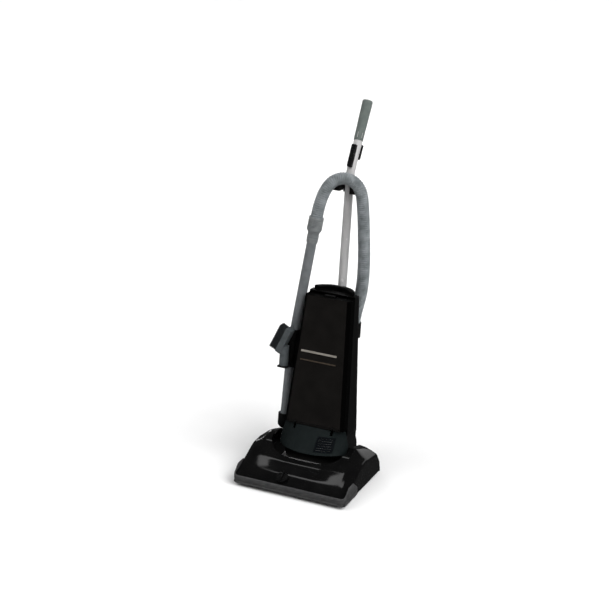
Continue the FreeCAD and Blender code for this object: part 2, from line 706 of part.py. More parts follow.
def rear_housing():
    """The bag compartment: a D-shaped tub that is open to the front under the door."""
    shell, cavity = new_body(), new_body()
    loft(shell, "XY_Plane", [(height, housing_section(height))
                             for height in ("body_low", "body_high")])
    loft(cavity, "XY_Plane", [(height, housing_section(height, 3))
                              for height in ("door_low", "body_high - wall")])
    flats = [
        box("inlet_x - 20", 60, "inlet_z - 22", 40, "boss_back - 60", 40),
        box(-14, 60, 180, 28, "boss_back - 60", 48),
        box(-56, 60, 80, 24, "boss_back - 60", 24),
        box("-boss_left", 0, 262, "boss_left - 70", 16, 36),
    ]
    tube_socket = rod("z", 0, "tube_back", "tube_foot - 6", 46, "tube_radius + 4")
    holes = [
        rod("z", 0, "tube_back", "tube_foot", 120, "tube_radius"),
        rod("z", 0, "tube_back", "tube_foot + 40", 60, "collar_radius"),
        rod("z", 0, 0, "body_low - 1", 40, 30),
        slab(64, -20, "body_low - 1", 76, "door_low - wall - body_low + 1"),
        rod("y", "inlet_x", 60, "inlet_z - 2", 60, 15),
        rod("y", -44, 60, 92, 60, "cord_radius + 1"),
    ] + [rod("z", x, y, "body_low - 1", 13, "screw_radius") for x, y in BOSSES]
    tub = cut(fuse(cut(shell, roof(0)), *flats), cut(cavity, roof(3)))
    node("rear_housing", cut(fuse(tub, tube_socket), *holes), UPRIGHT)


def bag_parts():
    """The paper bag with its collar and spout, and the filter between bag and motor."""
    body = new_body()
    for kind, inset in (("Additive", 0), ("Subtractive", 1)):
        low = rectangle(f"-70 + {inset}", f"-18 + {inset}", f"70 - {inset}", f"44 - {inset}")
        high = rectangle(f"-52 + {inset}", f"8 + {inset}", f"52 - {inset}", f"44 - {inset}")
        loft(body, "XY_Plane", [(f"95 + {inset}", low), (f"370 - {inset}", high)], kind)
    mouth = rod("y", "inlet_x", 40, "inlet_z - 2", 20, 15)
    node("dust_bag", cut(body, mouth), UPRIGHT)
    node("bag_collar", cut(box("inlet_x - 32", 44, "inlet_z - 40", 64, 4, 66),
                           rod("y", "inlet_x", 40, "inlet_z - 2", 20, 15)), UPRIGHT)
    node("bag_spout", ring("y", "inlet_x", 48, "inlet_z - 2", 30, 15, 12.5), UPRIGHT)
    node("motor_filter", slab(68, -22, "door_low", 60, 10), UPRIGHT)


def door_section(height, inset=0):
    """The door's plan at one height: flat front, chamfered corners, open to the rear."""
    half = f"({half_width(height)} - {inset})"
    rear = f"({front_edge(height)} - door_gap)"
    front = f"({rear} - door_depth + {inset})"
    back = f"({rear} + 2)" if inset else rear
    return [(f"-{half}", back), (f"-{half}", f"{front} + door_corner"),
            (f"-{half} + door_corner", front), (f"{half} - door_corner", front),
            (half, f"{front} + door_corner"), (half, back)]


def bag_door():
    """The tall front cover over the bag, hinged at its foot."""
    body = new_body()
    loft(body, "XY_Plane", [(height, door_section(height)) for height in ("door_low", "door_high")])
    loft(body, "XY_Plane", [(height, door_section(height, 3))
                            for height in ("door_low + 8", "door_high - wall")], "Subtractive")
    cuts = [box(f"{side} * 60 - 4.1", -75, "door_low - 10", 8.2, 60, 18) for side in (-1, 1)]
    cuts.append(rod("x", -84, "hinge_y", "hinge_z", 168, "2 + fit"))
    cuts.append(box(-16.5, -14.5, "door_high - 5", 33, 13, 10))
    node("bag_door", cut(body, *cuts), UPRIGHT)
    node("door_hinge_pin", rod("x", -80, "hinge_y", "hinge_z", 160, 2), UPRIGHT)
    latch = fuse(box(-16, -14, "door_high - 9", 32, 12, 13), box(-10, -2, "door_high - 8", 20, 12, 4))
    node("door_latch", latch, UPRIGHT)


def door_seal():
    """A soft frame just inside the housing's front edge."""
    body = new_body()
    for kind, rim, near, far, side in (("Additive", 12, "+ 1", "+ 5", 3.2),
                                       ("Subtractive", 17, "- 1", "+ 7", 8)):
        sections = []
        for height in (f"door_low + {rim}", f"door_high - {rim}"):
            half, edge = half_width(height), front_edge(height)
            sections.append((height, rectangle(f"{side} - {half}", f"{edge} {near}",
                                               f"{half} - {side}", f"{edge} {far}")))
        loft(body, "XY_Plane", sections, kind)
    node("door_seal", body, UPRIGHT)


def carry_handle():
    """A crescent round the front of the tube, with a lip over a hollow for the fingers."""
    centre = -10
    wall = cut(rod("z", 0, centre, "body_high - 14", "rim_high - body_high + 14", "rim_outer"),
               rod("z", 0, centre, "body_high - 15", 90, "rim_outer - 6"))
    lip = cut(rod("z", 0, centre, "rim_high - 5", 5, "rim_outer"),
              rod("z", 0, centre, "rim_high - 6", 7, "rim_outer - 14"))
    crescent = DOC.addObject("Part::MultiCommon", "Common")
    crescent.Shapes = [fuse(wall, lip), fuse(roof(0), slab(90, 0, "body_high", 40, 60))]
    front = slab(90, -100, 400, 119, 100)
    sides = [box(f"{side} * 110 - 46.5", -100, 400, 93, 200, 100) for side in (-1, 1)]
    collar = rod("z", 0, "tube_back", 400, 120, "collar_radius + 0.3")
    node("carry_handle", cut(crescent, front, collar, *sides), UPRIGHT)


def cord_fittings():
    """Where the power cord enters, and the two hooks it is wound on."""
    node("cord_gland", cut(cone("y", -44, "boss_back", 92, 16, 9, 6),
                           rod("y", -44, 70, 92, 60, "cord_radius")), UPRIGHT)
    node("lower_cord_hook", fuse(box(-12, "boss_back", 214, 24, 18, 10),
                                 box(-12, "boss_back + 12", 186, 24, 6, 38)), UPRIGHT)
    lean = tilted("bend_angle", 0, "tube_back", "tube_bend")
    bracket = fuse(rod("z", 0, 0, 46, 16, "tube_radius + 4"), rod("y", 0, 14, 54, 8, 6))
    front = box(-20, -30, 40, 40, 32, 30)
    node("cord_hook_bracket", cut(bracket, rod("z", 0, 0, 30, 60, "tube_radius"), front),
         UPRIGHT, lean)
    upper = fuse(rod("y", 0, 22.3, 54, 8, 6), box(-7, 26, 50, 14, 5, 43), box(-7, 22.6, 88, 14, 6, 5))
    node("upper_cord_hook", upper, UPRIGHT, lean)


def housing_screws():
    """Screws, driven from below, that join the bag housing to the motor case."""
    screws = [fuse(rod("z", x, y, 38, 32, "screw_radius"), rod("z", x, y, 37, 3, 3.5))
              for x, y in BOSSES]
    node("housing_screws", group(*screws), UPRIGHT)


# ---------------------------------------------------------------- handle

def handle_tube():
    """The chromed tube: straight out of the body, then one bend back to the grip."""
    top = point(0, "tube_back", "tube_bend")
    angle = math.radians(number("bend_angle"))
    end = top + Vector(0, math.sin(angle), math.cos(angle)) * number("tube_reach")
    reach = number("bend_radius") * math.tan(angle / 2)
    before, after = top - Vector(0, 0, reach), top + (end - top).normalize() * reach
    crown = top + Vector(0, math.cos(angle / 2), -math.sin(angle / 2)) * (
        number("bend_radius") * (1 / math.cos(angle / 2) - 1))
    path = Part.Wire([
        Part.LineSegment(point(0, "tube_back", "tube_foot"), before).toShape(),
        Part.Arc(before, crown, after).toShape(),
        Part.LineSegment(after, end).toShape(),
    ])
    outer = swept(path, number("tube_radius"))
    inner = swept(path, number("tube_radius - tube_wall"))
    node("handle_tube", coded(outer.cut(inner)), UPRIGHT)
    node("tube_collar", ring("z", 0, "tube_back", "tube_foot + 40", 22, "collar_radius",
                             "tube_radius"), UPRIGHT)


def grip():
    """The rubber grip, slotted at its lower end."""
    lean = tilted("bend_angle", 0, "tube_back", "tube_bend")
    sleeve = fuse(cone("z", 0, 0, "grip_start", "grip_length - 4", "grip_low", "grip_high"),
                  cone("z", 0, 0, "grip_start + grip_length - 4", 4, "grip_high", "grip_high - 3"))
    bore = rod("z", 0, 0, "grip_start - 1", "tube_reach - grip_start + 1", "tube_radius")
    slot = box(-2, -30, "grip_start - 1", 4, 60, 24)
    node("grip", cut(sleeve, bore, slot), UPRIGHT, lean)


def switch():
    """The switch box on the front of the tube and its rocker."""
    lean = tilted("bend_angle", 0, "tube_back", "tube_bend")
    case = cut(slab("switch_half", -24, 16, 24, 66), rod("z", 0, 0, 0, 120, "tube_radius"),
               slab("switch_half - 2", -26, 41, 11, 26), rod("x", -10, -20, 54, 20, 1.5))
    node("switch_housing", case, UPRIGHT, lean)
    rocker = cut(fuse(slab("switch_half - 2.3", -24, 42, 6, 24),
                      rod("x", "2.3 - switch_half", -20, 54, "2 * switch_half - 4.6", 4.5)),
                 rod("x", -8, -20, 54, 16, 1.6))
    node("switch_rocker", rocker, UPRIGHT, lean)
    pin = rod("x", "-switch_half", -20, 54, "2 * switch_half", 1.5)
    node("switch_pin", pin, UPRIGHT, lean)


# ---------------------------------------------------------------- hose, wand and tools

HOSE_ROUTE = (
    # (x, y, z) along the body: from the cuff on the wand, over the hook, down behind the body
    (-67, 8, 684), (-60.5, 9, 734), (-41, 23, 786), (-10, 36, 805), (26, 42, 800), (51, 50, 771),
    (57, 59, 706), (61, 66, 636), (64, 73, 566), (61, 83, 502), (52, 97, 454), (40, 110, 418),
    (31, 117, 387), (27, 119, 358),
)


def wand_line():
    """The wand's foot, the knee where its two tubes join, and its top inside the hose's cuff."""
    foot = point("socket_x", "socket_y", 48)
    knee = point("knee_x", "socket_y", "caddy_low + caddy_height / 2")
    mouth = Vector(*HOSE_ROUTE[0])
    return foot, knee, mouth + (knee - mouth).normalize() * 24


def hose():
    """The ribbed hose as a plain round bar along its route, and the fittings at its ends."""
    points = [Vector(*spot) for spot in HOSE_ROUTE]
    path, radii = route(points)
    radius = number("hose_radius")
    shape = swept(path, radius)
    length = path.Length
    print("hose length", round(length, 1), "volume ratio",
          round(shape.Volume / (math.pi * radius ** 2 * length), 4))
    print("hose radii", [round(value) for value in radii])
    node("hose", coded(shape.cut(swept(path, number("hose_radius - hose_wall")))), UPRIGHT)
    knee = wand_line()[1]
    cuff = Placement(points[0], Rotation(AXES["z"], knee - points[0]))
    trim = coded(shape.copy())
    trim.Placement = cuff.inverse()
    sleeve = fuse(rod("z", 0, 0, 0, 40, "cuff_radius"),
                  cone("z", 0, 0, 40, 8, "cuff_radius", "wand_radius + 2"),
                  rod("z", 0, 0, 48, 30, "wand_radius + 2"))
    node("hose_cuff", cut(sleeve, rod("z", 0, 0, 24, 90, "wand_radius"),
                          rod("z", 0, 0, -5, 40, "wand_radius - wand_wall"), trim), UPRIGHT, cuff)
    elbow = cut(fuse(rod("z", "inlet_x", "inlet_y", "inlet_z - 22", 45, "hose_radius + 3"),
                     rod("y", "inlet_x", "boss_back", "inlet_z - 2", "inlet_y - boss_back", 18)),
                rod("z", "inlet_x", "inlet_y", "inlet_z - 18", 90, "hose_radius - 2"),
                rod("y", "inlet_x", 60, "inlet_z - 2", "inlet_y - 60", 15),
                rod("z", "inlet_x", "inlet_y", "inlet_z + 20", 90, "hose_radius"), coded(shape))
    node("hose_inlet", elbow, UPRIGHT)
    clamp = rod("z", 0, "tube_back", 757, 28, "tube_radius + 4")
    wings = [box(-42, 36, 764, 29, 44, 22), box(13, 48, 757, 17, 32, 28)]
    hook = cut(fuse(clamp, *wings), coded(swept(path, radius + 0.3)),
               rod("z", 0, "tube_back", 700, 200, "tube_radius"), slab(12.9, 30, 700, 43.6, 200))
    node("hose_hook", hook, UPRIGHT)


def wand():
    """Two tubes with a slight bend where they join, and the socket that holds their foot."""
    foot, knee, top = wand_line()
    below = None
    for name, low, high in (("wand_lower", foot, knee), ("wand_upper", knee, top)):
        path = Part.Wire([Part.LineSegment(low, high).toShape()])
        outer = swept(path, number("wand_radius"))
        inner = swept(path, number("wand_radius - wand_wall"))
        tube = outer.cut(inner)
        node(name, coded(tube.cut(below) if below else tube), UPRIGHT)
        below = outer
    socket = cut(
        fuse(cone("z", "socket_x", "socket_y", "port_height - 11", 9, 13, 20),
             rod("z", "socket_x", "socket_y", "port_height - 2", 36, 20),
             rod("x", "socket_x", "socket_y", "port_height", "-drum_half - socket_x", 11)),
        rod("z", "socket_x", "socket_y", 47, 40, 15.9),
        rod("z", "socket_x", "socket_y", "port_height - 8", 20, 11),
        rod("x", "socket_x", "socket_y", "port_height", "1 - drum_half - socket_x",
            "port_radius"),
    )
    node("wand_socket", socket, UPRIGHT)


def tool_caddy():
    """The sleeve on the wand's joint, with an arm to the housing and a peg for the brush."""
    foot, knee, top = wand_line()
    half = number("caddy_height") / 2
    path = Part.Wire([
        Part.LineSegment(knee + (foot - knee).normalize() * half, knee).toShape(),
        Part.LineSegment(knee, knee + (top - knee).normalize() * half).toShape(),
    ])
    sleeve = coded(swept(path, number("wand_radius + 3")))
    bore = coded(swept(path, number("wand_radius + 0.2")))
    arm = box(-112, 0, 262, "112 - boss_left", 16, 36)
    shelf = fuse(box("peg_x - 14", "peg_y - 14", 226, 29, 32, 5),
                 rod("z", "peg_x", "peg_y", 226, 30, "peg_radius"))
    node("tool_caddy", cut(fuse(sleeve, arm, shelf), bore), UPRIGHT)


def dusting_brush():
    """The dusting brush on its peg, and its oblong tuft of bristle."""
    head = Placement(point("peg_x - 1", "peg_y", 308), Rotation(AXES["y"], number("brush_lean")))
    shell = box(-8, -15, -40, 18, 30, 80)
    shell.Placement = head.multiply(shell.Placement)
    body = fuse(rod("z", "peg_x", "peg_y", 231.3, 60, 13.5), shell)
    bore = rod("z", "peg_x", "peg_y", 225, 40, "peg_radius + fit")
    node("dusting_brush", cut(body, bore), UPRIGHT)
    node("brush_tuft", box(-32, -13, -38, 24, 26, 76), UPRIGHT, head)


def build():
    nozzle = (hood, front_bumper, nozzle_chassis, sole_plate, nozzle_duct, brush_roll,
              brush_bearings, drive_belt, wheels, height_gear, release_pedal, pivot_bearings,
              hood_screws)
    upright = (motor_case, riser_duct, motor, motor_cover, exhaust, rear_housing, bag_parts,
               bag_door, door_seal, carry_handle, cord_fittings, housing_screws, handle_tube,
               grip, switch, hose, wand, tool_caddy, dusting_brush)
    for make in nozzle + upright:
        make()
    DOC.recompute()


def check():
    """Stop on any object that failed to compute, and on any empty or invalid piece."""
    failed = [thing.Label for thing in DOC.Objects
              if "Invalid" in thing.State or "Error" in thing.State]
    bad = [name for name, part in NODES.items() if part.Shape.isNull() or not part.Shape.isValid()]
    if failed or bad:
        raise RuntimeError(f"failed: {failed} bad shapes: {bad}")


def export():
    os.makedirs("parts", exist_ok=True)
    for name, part in NODES.items():
        part.Shape.exportStep(f"parts/{name}.step")


build()
check()
export()
print(len(NODES), "pieces")
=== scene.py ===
import json
import math
import random

import bmesh
import bpy
import numpy as np
from mathutils import Matrix, Vector


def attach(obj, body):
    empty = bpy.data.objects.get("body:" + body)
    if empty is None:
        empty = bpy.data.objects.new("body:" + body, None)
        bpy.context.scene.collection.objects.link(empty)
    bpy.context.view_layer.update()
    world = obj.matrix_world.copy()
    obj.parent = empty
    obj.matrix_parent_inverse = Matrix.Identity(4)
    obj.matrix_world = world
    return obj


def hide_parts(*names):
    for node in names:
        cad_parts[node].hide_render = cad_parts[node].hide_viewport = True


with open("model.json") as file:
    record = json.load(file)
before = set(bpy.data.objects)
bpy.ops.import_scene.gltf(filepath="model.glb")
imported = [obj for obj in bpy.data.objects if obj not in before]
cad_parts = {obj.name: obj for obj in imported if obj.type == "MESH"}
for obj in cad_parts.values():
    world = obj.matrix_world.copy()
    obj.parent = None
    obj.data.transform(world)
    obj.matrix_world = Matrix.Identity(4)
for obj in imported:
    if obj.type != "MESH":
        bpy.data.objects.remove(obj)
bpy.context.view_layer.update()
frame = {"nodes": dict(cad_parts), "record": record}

SEED = 7

# Local frames, in metres. BASE has y measured backward from the nozzle's front edge. UPRIGHT has its
# origin on the pivot and z along the body. HANDLE has z along the tube above its bend. KNOB lies on
# the hood's front slope, with z along the height knob's axis.
BASE = Matrix.Translation((0, -0.2709, 0))
UPRIGHT = Matrix.Translation((0, -0.0489, 0.070)) @ Matrix.Rotation(math.radians(-8.3), 4, "X")
HANDLE = (UPRIGHT @ Matrix.Translation((0, 0.0736, 0.812))
          @ Matrix.Rotation(math.radians(-24.3), 4, "X"))
KNOB = (BASE @ Matrix.Translation((-0.030, 0.0255, 0.046))
        @ Matrix.Rotation(math.atan2(18, 33), 4, "X"))

# The hose's route in the UPRIGHT frame: the points of part.py, in metres.
HOSE_ROUTE = (
    (-0.067, 0.008, 0.684), (-0.0605, 0.009, 0.734), (-0.041, 0.023, 0.786), (-0.010, 0.036, 0.805),
    (0.026, 0.042, 0.800), (0.051, 0.050, 0.771), (0.057, 0.059, 0.706), (0.061, 0.066, 0.636),
    (0.064, 0.073, 0.566), (0.061, 0.083, 0.502), (0.052, 0.097, 0.454), (0.040, 0.110, 0.418),
    (0.031, 0.117, 0.387), (0.027, 0.119, 0.358),
)
# The hose's radius between two ribs, what a rib adds to it, and the distance from rib to rib.
HOSE_VALLEY, HOSE_RIB, RIB_PITCH = 0.0166, 0.0018, 0.0062
HOSE_STEP, HOSE_SIDES = 0.0009, 40

# The sizes below are in millimetres. They are in BASE, apart from the knob's, in KNOB, and the front
# panel's, in UPRIGHT.

# The hood: half its width, its back, its floor edge, and the lip along its front.
HOOD_SIDE, HOOD_BACK, HOOD_LOW = 178, 252, 12
LIP_BACK, LIP_HEIGHT = 7, 35
# How far back the profile's points lie, then each station: across, and the height at each point.
PROFILE_BACK = (40, 85, 128, 168, 233, HOOD_BACK)
HOOD_STATIONS = (
    (HOOD_SIDE, (43, 65, 84, 85, 76, 42)), (162, (53, 73, 92, 95, 84, 46)),
    (140, (53, 76, 103, 114, 92, 50)), (123, (53, 74, 102, 114, 94, 52)),
    (60, (53, 67, 98, 114, 94, 52)),
)
HOOD_STEP, HOOD_ROUNDING, HOOD_WALL = 2.6, 4.5, 2.8
# The opening for the body: the front of its edge on the middle line, then its right half.
THROAT_FRONT = (0, 96)
THROAT_HALF = ((40, 97), (70, 100), (92, 107), (108, 118), (119, 134), (123, 152), (123, 300))
THROAT_LOW, THROAT_HIGH = -5, 200

# The bumper: half its width, its corner's radius, its back, and its top edge as (back, height).
BUMPER_SIDE, BUMPER_CORNER, BUMPER_BACK = 180, 14, 92
BUMPER_TOP = ((0, 34), (8, 37), (34, 59), (66, 59), (92, 36))
BUMPER_FRONT_WALL, BUMPER_SIDE_WALL = 6.4, 2.2

# The height knob's outline as (radius, height), and the flutes in its rim.
KNOB_PROFILE = ((4, -10), (4, 0), (18, 0), (18.8, 0.8), (19, 2), (19, 5.8), (18.4, 7.2),
                (17.2, 8), (13.5, 8), (12.6, 7.2), (4, 7.0))
KNOB_FLUTES, FLUTE_DEPTH, FLUTE_FROM = 16, 0.5, 17.5

# The front panel's edge as (depth, height) at its foot and its top, and the panel over it.
PANEL_FOOT, PANEL_TOP = (-33.7, 58), (7.6, 466)
PANEL_GAP, PANEL_DEPTH = 0.4, 34


# ---------------------------------------------------------------- camera, light, floor

def add_camera():
    """A long lens at the photograph's viewing angle."""
    data = bpy.data.cameras.new("camera")
    data.lens = 117.65
    data.sensor_width = 36
    camera = bpy.data.objects.new("camera", data)
    camera.location = (2.2824, -4.8200, 2.8036)
    camera.rotation_euler = (math.radians(66.636), 0, math.radians(26.045))
    bpy.context.collection.objects.link(camera)
    bpy.context.scene.camera = camera


def add_light(name, place, target, size, power):
    """A rectangular soft light that faces a point."""
    data = bpy.data.lights.new(name, "AREA")
    data.shape = "RECTANGLE"
    data.size, data.size_y = size
    data.energy = power
    light = bpy.data.objects.new(name, data)
    light.location = place
    light.rotation_euler = (Vector(target) - Vector(place)).to_track_quat("-Z", "Y").to_euler()
    bpy.context.collection.objects.link(light)


def add_sun(name, toward, strength):
    """A wide, soft sun that lights the floor evenly and stays out of reflections."""
    data = bpy.data.lights.new(name, "SUN")
    data.energy = strength
    data.angle = math.radians(55)
    sun = bpy.data.objects.new(name, data)
    sun.rotation_euler = Vector(toward).to_track_quat("-Z", "Y").to_euler()
    sun.visible_glossy = False
    bpy.context.collection.objects.link(sun)


def add_world(strength):
    """A dim even fill."""
    world = bpy.data.worlds.new("studio")
    world.use_nodes = True
    background = world.node_tree.nodes["Background"]
    background.inputs["Color"].default_value = (1, 1, 1, 1)
    background.inputs["Strength"].default_value = strength
    bpy.context.scene.world = world


def add_floor():
    """A pale matt floor that stays out of reflections, so that black plastic stays black."""
    bpy.ops.mesh.primitive_grid_add(size=12, x_subdivisions=4, y_subdivisions=4)
    floor = bpy.context.object
    floor.name = "floor"
    floor.data.materials.append(plastic("floor_paint", (0.86, 0.86, 0.86), (0.9, 0.9, 0.9),
                                        roughness=(0.85, 0.95), scale=3, bump=0.02, grain=60,
                                        specular=0.1))
    floor.visible_glossy = False


def add_backdrop():
    """A pale dome far behind everything, left out of reflections, bounced light and shadows."""
    bpy.ops.mesh.primitive_uv_sphere_add(segments=96, ring_count=48, radius=40)
    dome = bpy.context.object
    dome.name = "backdrop"
    bpy.ops.object.shade_smooth()
    pale = (0.9, 0.9, 0.9, 1)
    paper, _, shader = new_material("backdrop_paper")
    shader.inputs["Base Color"].default_value = pale
    shader.inputs["Emission Color"].default_value = pale
    shader.inputs["Emission Strength"].default_value = 1.0
    dome.data.materials.append(paper)
    dome.visible_glossy = False
    dome.visible_diffuse = False
    dome.visible_shadow = False


def light_scene():
    """Two suns for the floor and the greys, and soft lights whose reflections shape the blacks."""
    add_world(0.06)
    add_sun("sun_left", (0.6, 0.5, -1.0), 1.3)
    add_sun("sun_right", (-0.9, 0.15, -0.9), 3.6)
    add_light("front_slope", (-0.52, 0.02, 1.55), (0.1, -0.24, 0.05), (0.2, 0.4), 0.5)
    add_light("left_strip", (-2.2, -1.2, 1.2), (0, 0, 0.5), (0.5, 2.0), 2)
    add_light("rear_soft", (0.9, 3.0, 1.3), (0, 0, 0.4), (2.0, 1.6), 9)
    add_light("rear_left", (-2.4, 2.4, 1.3), (0, 0, 0.5), (0.7, 1.8), 25)


# ---------------------------------------------------------------- materials

def new_material(name):
    """A node material, its tree and its shader."""
    made = bpy.data.materials.new(name)
    made.use_nodes = True
    tree = made.node_tree
    return made, tree, tree.nodes["Principled BSDF"]


def noise(tree, scale, detail, stretch):
    """A noise texture in the object's own space."""
    place = tree.nodes.new("ShaderNodeTexCoord")
    mapping = tree.nodes.new("ShaderNodeMapping")
    mapping.inputs["Scale"].default_value = stretch
    texture = tree.nodes.new("ShaderNodeTexNoise")
    texture.inputs["Scale"].default_value = scale
    texture.inputs["Detail"].default_value = detail
    tree.links.new(place.outputs["Object"], mapping.inputs["Vector"])
    tree.links.new(mapping.outputs["Vector"], texture.inputs["Vector"])
    return texture


def spread(tree, source, low, high):
    """Map the middle of a noise, where most of it lies, to a range."""
    ranged = tree.nodes.new("ShaderNodeMapRange")
    ranged.inputs["From Min"].default_value = 0.3
    ranged.inputs["From Max"].default_value = 0.7
    ranged.inputs["To Min"].default_value = low
    ranged.inputs["To Max"].default_value = high
    tree.links.new(source, ranged.inputs["Value"])
    return ranged.outputs["Result"]


def plastic(name, dark, light, roughness, scale, bump, grain, metallic=0.0, specular=0.5,
            stretch=(1, 1, 1), edge=0.0):
    """A moulded, painted or metal finish: two tones, uneven roughness and a fine grain."""
    made, tree, shader = new_material(name)
    cloud = noise(tree, scale, 4, stretch)
    tones = tree.nodes.new("ShaderNodeMix")
    tones.data_type = "RGBA"
    tones.inputs["A"].default_value = (*dark, 1)
    tones.inputs["B"].default_value = (*light, 1)
    tree.links.new(spread(tree, cloud.outputs["Fac"], 0, 1), tones.inputs["Factor"])
    tree.links.new(tones.outputs["Result"], shader.inputs["Base Color"])
    tree.links.new(spread(tree, cloud.outputs["Fac"], *roughness), shader.inputs["Roughness"])
    fine = noise(tree, grain, 2, stretch)
    relief = tree.nodes.new("ShaderNodeBump")
    relief.inputs["Strength"].default_value = bump
    relief.inputs["Distance"].default_value = 0.0004
    tree.links.new(fine.outputs["Fac"], relief.inputs["Height"])
    if edge:
        rounding = tree.nodes.new("ShaderNodeBevel")
        rounding.samples = 4
        rounding.inputs["Radius"].default_value = edge
        tree.links.new(rounding.outputs["Normal"], relief.inputs["Normal"])
    tree.links.new(relief.outputs["Normal"], shader.inputs["Normal"])
    shader.inputs["Metallic"].default_value = metallic
    shader.inputs["Specular IOR Level"].default_value = specular
    return made


def paint_side_shade(made, side_shade_colour):
    """Keep the finish on faces that look forward, and paint the rest darker, by the object's normal:
    painted shade on the sides.
    """
    tree = made.node_tree
    shader = tree.nodes["Principled BSDF"]
    tones = shader.inputs["Base Color"].links[0].from_node
    place = tree.nodes.new("ShaderNodeTexCoord")
    split = tree.nodes.new("ShaderNodeSeparateXYZ")
    tree.links.new(place.outputs["Normal"], split.inputs["Vector"])
    facing = tree.nodes.new("ShaderNodeMapRange")
    facing.inputs["From Min"].default_value = -0.8
    facing.inputs["From Max"].default_value = -0.92
    tree.links.new(split.outputs["Y"], facing.inputs["Value"])
    # Painted shade: faces that don't look forward take the near-black colour instead of the finish.
    mixed = tree.nodes.new("ShaderNodeMix")
    mixed.data_type = "RGBA"
    mixed.inputs["A"].default_value = (*side_shade_colour, 1)
    tree.links.new(facing.outputs["Result"], mixed.inputs["Factor"])
    tree.links.new(tones.outputs["Result"], mixed.inputs["B"])
    tree.links.new(mixed.outputs["Result"], shader.inputs["Base Color"])


